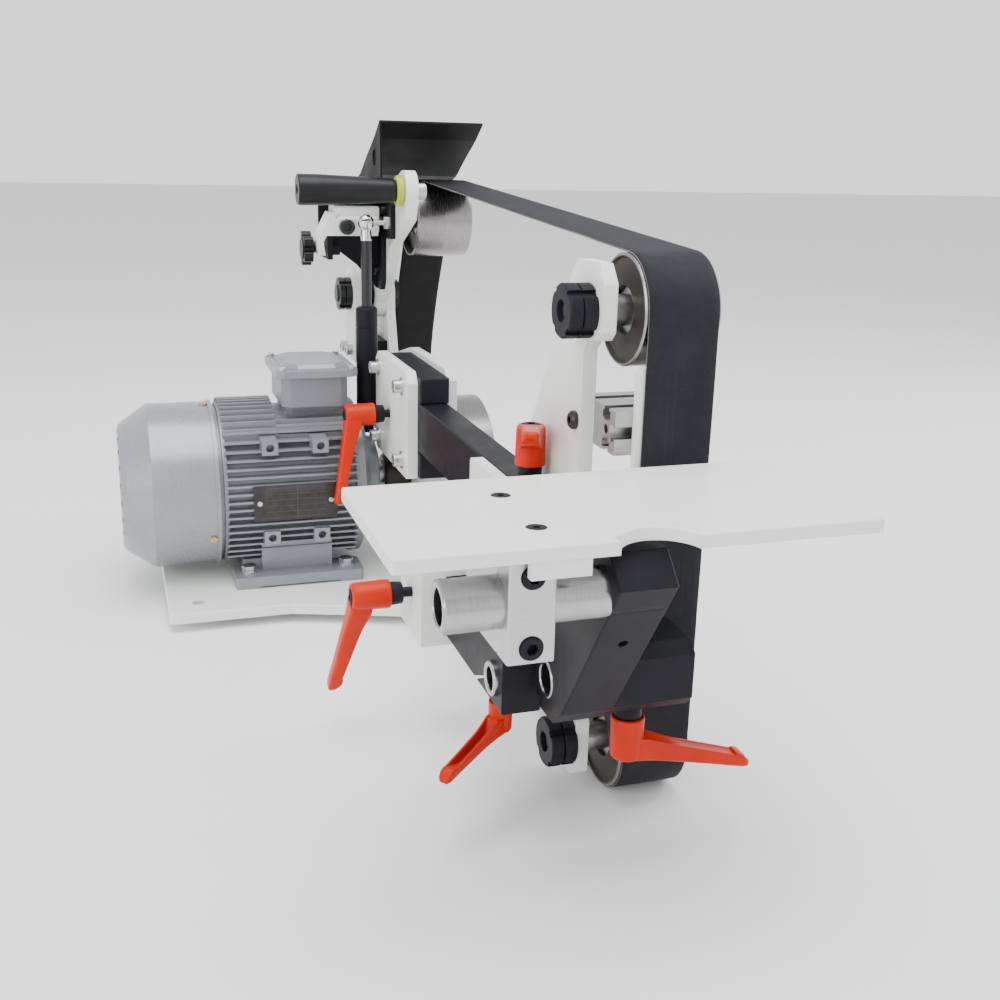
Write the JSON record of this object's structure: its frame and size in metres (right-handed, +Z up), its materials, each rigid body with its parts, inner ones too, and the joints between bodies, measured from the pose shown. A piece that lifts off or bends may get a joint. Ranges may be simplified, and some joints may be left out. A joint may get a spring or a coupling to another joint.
{
  "type": "belt grinder",
  "caption": "Bench belt grinder with a foot motor driving a narrow abrasive belt over a flat platen, with a sprung tension arm, tilting tracking wheel and adjustable work table.",
  "frame": {"origin": "on the underside of the base plate, in the centre plane of the belt, directly below the motor shaft's axis", "axes": "+X along the motor shaft, away from the fan end; +Y away from the operator; +Z up"},
  "size_m": [0.412, 0.869, 0.4765],
  "materials": {
    "pale_paint": "satin pale grey-green powder coat",
    "motor_grey": "satin grey paint over cast aluminium",
    "black_steel": "black oxide and satin black coat",
    "zinc": "bright zinc plate",
    "turned": "turned bare metal",
    "chrome": "polished",
    "alu": "satin mill finish",
    "bare_steel": "machined steel",
    "iron": "laminated core and varnished windings",
    "black_plastic": "moulded",
    "orange_plastic": "moulded glass-filled nylon",
    "green_plastic": "moulded collar",
    "white_plate": "white sheet",
    "belt_black": "coated abrasive cloth",
    "label": "blank printed plate"
  },
  "bodies": {
    "frame": {"base_plate": "pale_paint", "main_plate": "pale_paint", "side_plates": "pale_paint", "frame_spacers": "black_steel", "frame_bolts": "zinc", "pivot_pins": "black_steel", "motor_housing": "motor_grey", "end_shields": "motor_grey", "fan_cowl": "motor_grey", "motor_screws": "zinc", "motor_feet": "motor_grey", "foot_bolts": "zinc", "terminal_box": "motor_grey", "terminal_lid": "motor_grey", "nameplate": "label", "stator": "iron", "motor_bearings": "bare_steel", "abrasive_belt": "belt_black"},
    "rotor": {"rotor_shaft": "bare_steel", "cooling_fan": "black_plastic", "drive_wheel": "turned"},
    "tool_bar": {"tool_arm": "black_steel", "head_plates": "pale_paint", "head_spacer": "black_steel", "platen_profiles": "alu", "platen_plate": "pale_paint", "head_screws": "zinc", "wheel_axles": "bare_steel", "wheel_nuts": "black_steel", "wheel_bearings": "bare_steel", "rest_receiver": "pale_paint"},
    "upper_roller": {"upper_wheel": "turned"},
    "lower_roller": {"lower_wheel": "turned"},
    "rest_bar": {"rest_arm": "black_steel", "eye_tube": "bare_steel"},
    "rest_knuckle": {"knuckle": "black_steel"},
    "rest_link_arm": {"rest_link": "black_steel", "rest_tubes": "chrome"},
    "table": {"table_clamp": "alu", "table_pad": "white_plate", "work_table": "pale_paint", "table_screws": "bare_steel"},
    "tensioner": {"tension_arm": "pale_paint", "tracking_yoke": "black_steel", "arm_screws": "zinc", "tension_grip": "black_plastic", "grip_collar": "green_plastic", "belt_guard": "black_steel"},
    "tracker": {"tracking_block": "pale_paint", "tracking_axle": "bare_steel"},
    "tracking_roller": {"tracking_wheel": "turned"},
    "knob": {"tracking_knob": "black_plastic"},
    "strut_lower": {"strut_cylinder": "black_steel", "strut_spring": "bare_steel"},
    "strut_upper": {"strut_rod": "chrome"},
    "arm_clamp_lever": {"lever_arm": "orange_plastic"},
    "rest_clamp_lever": {"lever_rest": "orange_plastic"},
    "eye_clamp_lever": {"lever_eye": "orange_plastic"},
    "link_clamp_lever": {"lever_link": "orange_plastic"},
    "head_clamp_lever": {"lever_head": "orange_plastic"}
  },
  "joints": [
    {"name": "motor_spin", "type": "hinge", "parent": "frame", "child": "rotor", "pos_m": [0, 0, 0.1], "axis": [1, 0, 0], "continuous": true},
    {"name": "tool_bar_slide", "type": "slide", "parent": "frame", "child": "tool_bar", "axis": [0, 1, 0], "range_m": [-0.06, 0.03], "deforming": ["abrasive_belt"]},
    {"name": "upper_roller_spin", "type": "hinge", "parent": "tool_bar", "child": "upper_roller", "pos_m": [0, -0.5013, 0.3427], "axis": [1, 0, 0], "continuous": true},
    {"name": "lower_roller_spin", "type": "hinge", "parent": "tool_bar", "child": "lower_roller", "pos_m": [0, -0.5013, 0.0304], "axis": [1, 0, 0], "continuous": true},
    {"name": "rest_bar_slide", "type": "slide", "parent": "tool_bar", "child": "rest_bar", "axis": [0, 1, 0], "range_m": [-0.06, 0.004]},
    {"name": "knuckle_swing", "type": "hinge", "parent": "rest_bar", "child": "rest_knuckle", "pos_m": [0, -0.536, 0.1035], "axis": [1, 0, 0], "range_deg": [-3, 6]},
    {"name": "link_swing", "type": "hinge", "parent": "rest_knuckle", "child": "rest_link_arm", "pos_m": [0, -0.577, 0.119], "axis": [1, 0, 0], "range_deg": [-4, 20]},
    {"name": "table_tilt", "type": "hinge", "parent": "rest_link_arm", "child": "table", "pos_m": [0, -0.657, 0.209], "axis": [1, 0, 0], "range_deg": [-5, 15]},
    {"name": "tensioner_swing", "type": "hinge", "parent": "frame", "child": "tensioner", "pos_m": [0, 0.118, 0.28], "axis": [1, 0, 0], "range_deg": [-3, 6], "stiffness_Nm_per_rad": 60, "springref_deg": -34.38, "deforming": ["abrasive_belt"]},
    {"name": "tracking_tilt", "type": "hinge", "parent": "tensioner", "child": "tracker", "pos_m": [-0.11, 0, 0.361], "axis": [0, 1, 0], "range_deg": [-1.3, 3], "deforming": ["abrasive_belt"]},
    {"name": "tracking_roller_spin", "type": "hinge", "parent": "tracker", "child": "tracking_roller", "pos_m": [0, 0.0495, 0.368], "axis": [1, 0, 0], "continuous": true},
    {"name": "tracking_knob_turn", "type": "hinge", "parent": "tracker", "child": "knob", "pos_m": [0, 0.042, 0.337], "axis": [1, 0, 0], "range_deg": [-170, 400]},
    {"name": "strut_swing", "type": "hinge", "parent": "frame", "child": "strut_lower", "pos_m": [-0.092, 0.008, 0.15], "axis": [1, 0, 0], "range_deg": [-3, 6]},
    {"name": "strut_slide", "type": "slide", "parent": "strut_lower", "child": "strut_upper", "axis": [0, 0, 1], "range_m": [-0.025, 0.012], "deforming": ["strut_spring"]},
    {"name": "arm_lever_turn", "type": "hinge", "parent": "frame", "child": "arm_clamp_lever", "pos_m": [0, -0.08, 0.183], "axis": [1, 0, 0], "range_deg": [-60, 0]},
    {"name": "rest_lever_turn", "type": "hinge", "parent": "tool_bar", "child": "rest_clamp_lever", "pos_m": [0, -0.387, 0.111], "axis": [1, 0, 0], "range_deg": [-60, 60]},
    {"name": "eye_lever_turn", "type": "hinge", "parent": "rest_bar", "child": "eye_clamp_lever", "pos_m": [-0.108, -0.512, 0], "axis": [0, 0, 1], "range_deg": [-30, 60]},
    {"name": "link_lever_turn", "type": "hinge", "parent": "rest_knuckle", "child": "link_clamp_lever", "pos_m": [-0.041, -0.577, 0], "axis": [0, 0, 1], "range_deg": [-40, 15]},
    {"name": "head_lever_turn", "type": "hinge", "parent": "tool_bar", "child": "head_clamp_lever", "pos_m": [-0.064, -0.435, 0], "axis": [0, 0, 1], "range_deg": [-30, 15]}
  ],
  "couplings": [
    {"joint": "upper_roller_spin", "follows": "motor_spin", "ratio": 2.1068},
    {"joint": "lower_roller_spin", "follows": "motor_spin", "ratio": 2.1068},
    {"joint": "tracking_roller_spin", "follows": "motor_spin", "ratio": 1.978},
    {"joint": "strut_swing", "follows": "tensioner_swing", "ratio": 0.398},
    {"joint": "strut_slide", "follows": "tensioner_swing", "m_per_rad": -0.11},
    {"joint": "tracking_tilt", "follows": "tracking_knob_turn", "ratio": 0.0075}
  ]
}
